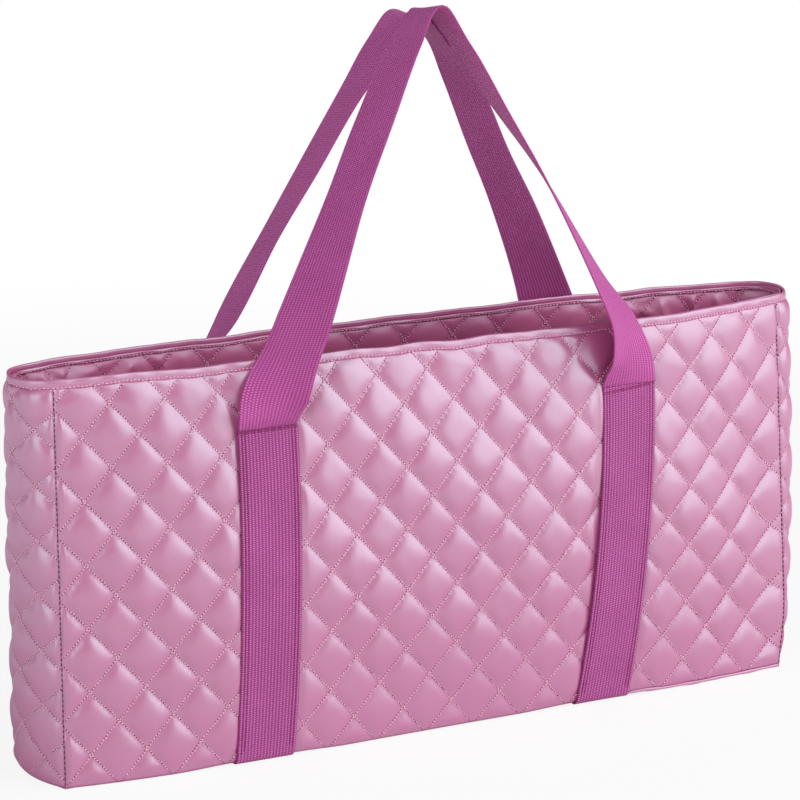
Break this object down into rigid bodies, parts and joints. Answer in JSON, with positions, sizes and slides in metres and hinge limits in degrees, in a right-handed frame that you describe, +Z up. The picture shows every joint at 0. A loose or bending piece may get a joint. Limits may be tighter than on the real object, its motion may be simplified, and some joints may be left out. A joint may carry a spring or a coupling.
{
  "type": "mahjong carry bag",
  "caption": "Long open-topped carry bag of diamond-quilted satin cloth, with wide webbing straps that run round the body and rise as swinging loop handles.",
  "frame": {"origin": "on the floor, under the middle of the whole object's box", "axes": "+X along the bag to its right end, -Y out of the front face, +Z up"},
  "size_m": [0.6986, 0.16, 0.5791],
  "materials": {
    "quilted_satin": "pink satin-coated cloth, quilted in diamonds, soft sheen",
    "lining_satin": "the same pink satin-coated cloth, in shade",
    "wadding": "white polyester wadding",
    "webbing": "orchid woven webbing, ribbed, matt",
    "thread": "light pink sewing thread"
  },
  "bodies": {
    "bag": {"front_outer_fabric": "quilted_satin", "back_outer_fabric": "quilted_satin", "left_end_outer_fabric": "quilted_satin", "right_end_outer_fabric": "quilted_satin", "base_outer_fabric": "quilted_satin", "front_wadding": "wadding", "back_wadding": "wadding", "left_end_wadding": "wadding", "right_end_wadding": "wadding", "base_wadding": "wadding", "front_lining": "lining_satin", "back_lining": "lining_satin", "left_end_lining": "lining_satin", "right_end_lining": "lining_satin", "base_lining": "lining_satin", "strap_front_left": "webbing", "strap_front_right": "webbing", "strap_back_left": "webbing", "strap_back_right": "webbing", "strap_base_left": "webbing", "strap_base_right": "webbing", "tack_front_left": "thread", "tack_front_right": "thread", "tack_back_left": "thread", "tack_back_right": "thread"},
    "front_loop": {"front_handle": "webbing"},
    "back_loop": {"back_handle": "webbing"}
  },
  "joints": [
    {"name": "front_handle_swing", "type": "hinge", "parent": "bag", "child": "front_loop", "pos_m": [0, -0.0557, 0.266], "axis": [1, 0, 0], "range_deg": [0, 135]},
    {"name": "back_handle_swing", "type": "hinge", "parent": "bag", "child": "back_loop", "pos_m": [0, 0.0557, 0.266], "axis": [-1, 0, 0], "range_deg": [0, 135]}
  ]
}
